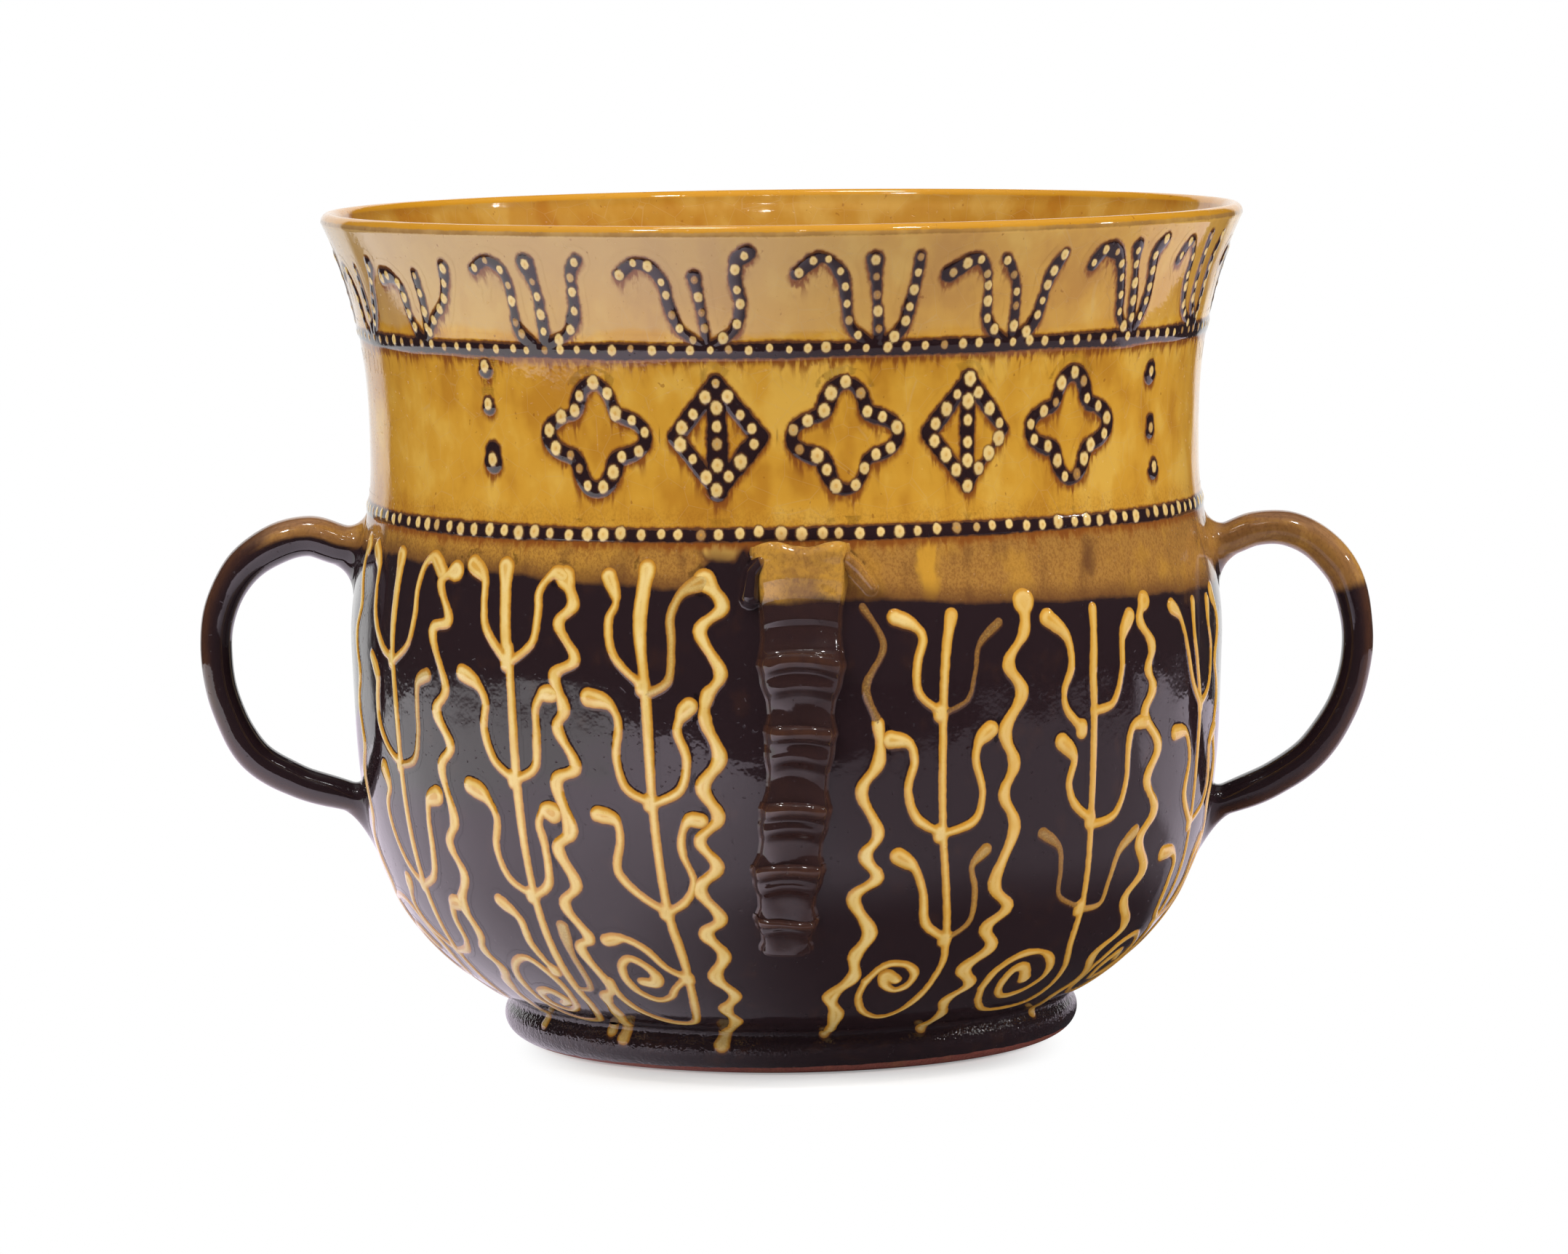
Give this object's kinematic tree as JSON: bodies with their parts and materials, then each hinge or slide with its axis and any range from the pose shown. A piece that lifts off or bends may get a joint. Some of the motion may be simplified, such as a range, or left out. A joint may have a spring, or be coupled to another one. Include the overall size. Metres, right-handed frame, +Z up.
{
  "type": "posset pot",
  "caption": "Two-handled round earthenware posset pot with flared rim, rolled foot, pleated straps front and back, and raised trailed-slip ornament.",
  "frame": {"origin": "centre of the foot's resting face", "axes": "+Z up through the rim, +X towards the right-hand handle, front strap towards -Y"},
  "size_m": [0.31, 0.2424, 0.218],
  "materials": {
    "honey_glaze": "glossy honey lead glaze over cream slip",
    "treacle_glaze": "glossy treacle-dark lead glaze over red clay",
    "foot_clay": "dark glaze down to a bare red clay resting edge",
    "cream_slip": "raised cream slip under glossy amber glaze",
    "dark_slip": "raised dark slip under glossy glaze"
  },
  "bodies": {
    "root": {"body": "honey_glaze", "foot_ring": "foot_clay", "handle_left": "treacle_glaze", "handle_right": "treacle_glaze", "front_strap": "treacle_glaze", "back_strap": "treacle_glaze", "upper_border": "dark_slip", "lower_border": "dark_slip", "stem_1": "cream_slip", "stem_2": "cream_slip", "stem_3": "cream_slip", "stem_4": "cream_slip", "stem_5": "cream_slip", "stem_6": "cream_slip", "stem_7": "cream_slip", "stem_8": "cream_slip", "stem_9": "cream_slip", "stem_10": "cream_slip", "stem_11": "cream_slip", "stem_12": "cream_slip", "wave_1": "cream_slip", "wave_2": "cream_slip", "wave_3": "cream_slip", "wave_4": "cream_slip", "wave_5": "cream_slip", "wave_6": "cream_slip", "wave_7": "cream_slip", "wave_8": "cream_slip", "wave_9": "cream_slip", "wave_10": "cream_slip", "wave_11": "cream_slip", "wave_12": "cream_slip", "wave_13": "cream_slip", "wave_14": "cream_slip", "wave_15": "cream_slip", "wave_16": "cream_slip", "motif_1": "dark_slip", "motif_2": "dark_slip", "motif_3": "dark_slip", "motif_4": "dark_slip", "motif_5": "dark_slip", "motif_6": "dark_slip", "motif_7": "dark_slip", "motif_8": "dark_slip", "motif_9": "dark_slip", "motif_10": "dark_slip", "dot_1": "dark_slip", "dot_2": "dark_slip", "dot_3": "dark_slip", "dot_4": "dark_slip", "dot_5": "dark_slip", "dot_6": "dark_slip", "dot_7": "dark_slip", "dot_8": "dark_slip", "dot_9": "dark_slip", "dot_10": "dark_slip", "dot_11": "dark_slip", "dot_12": "dark_slip"}
  },
  "joints": []
}
